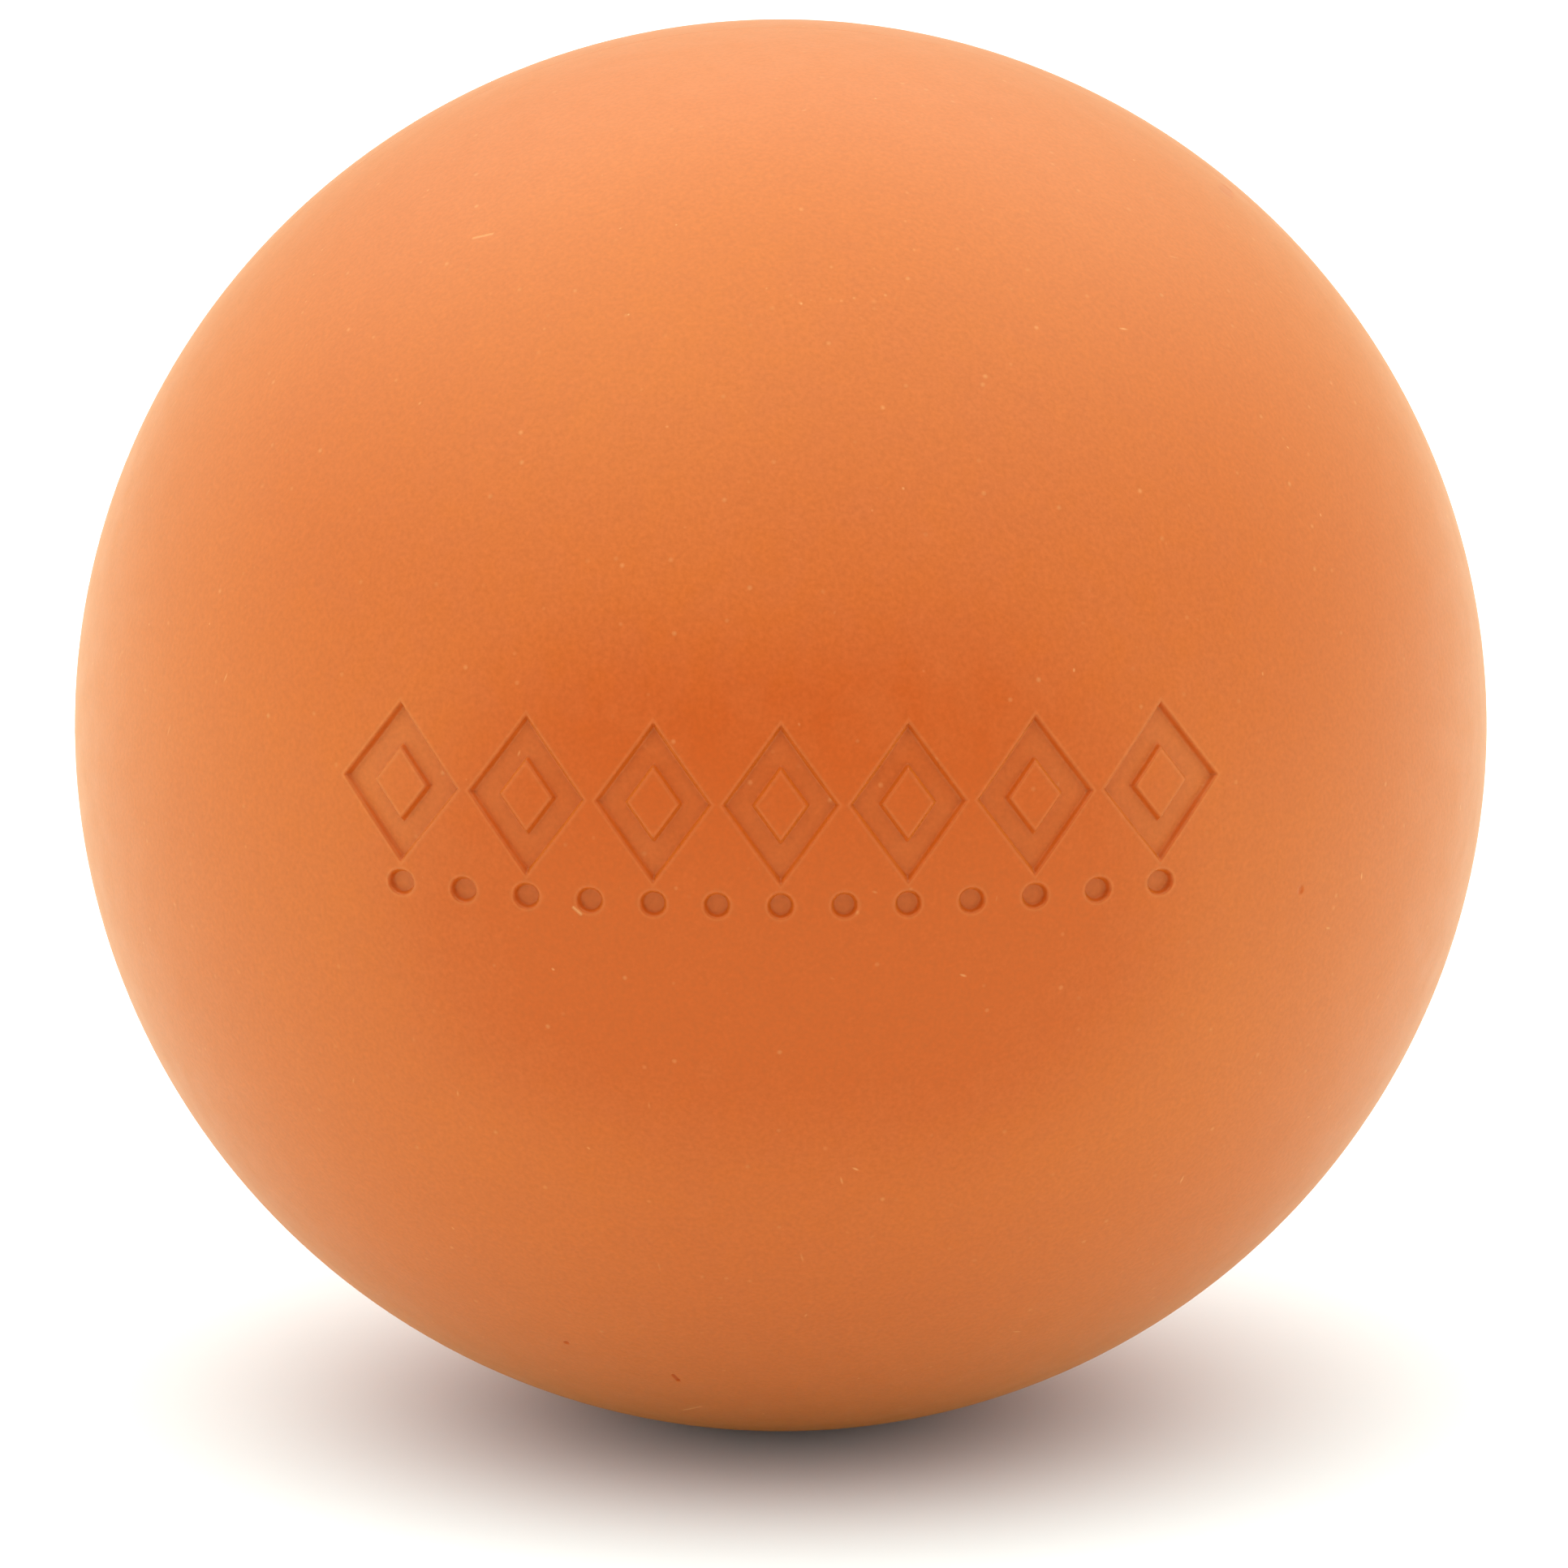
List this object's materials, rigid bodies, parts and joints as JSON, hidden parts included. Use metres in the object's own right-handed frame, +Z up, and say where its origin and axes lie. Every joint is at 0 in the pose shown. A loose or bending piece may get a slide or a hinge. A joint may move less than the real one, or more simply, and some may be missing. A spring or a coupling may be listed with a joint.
{
  "type": "lacrosse ball",
  "caption": "Solid matte orange rubber ball with a hairline parting line and a shallow sunk band of lozenges over dots on its front.",
  "frame": {"origin": "centre of the ball", "axes": "+Z up, -Y towards the front, which carries the sunk band of marks; the mould parted on the plane y = 0, and the ball touches what it lies on at -Z"},
  "size_m": [0.0634, 0.0636, 0.0634],
  "materials": {
    "rubber": "matte vulcanised rubber as it leaves a blasted mould, orange right through, with a faint pale bloom"
  },
  "bodies": {
    "root": {"front_half": "rubber", "rear_half": "rubber"}
  },
  "joints": []
}
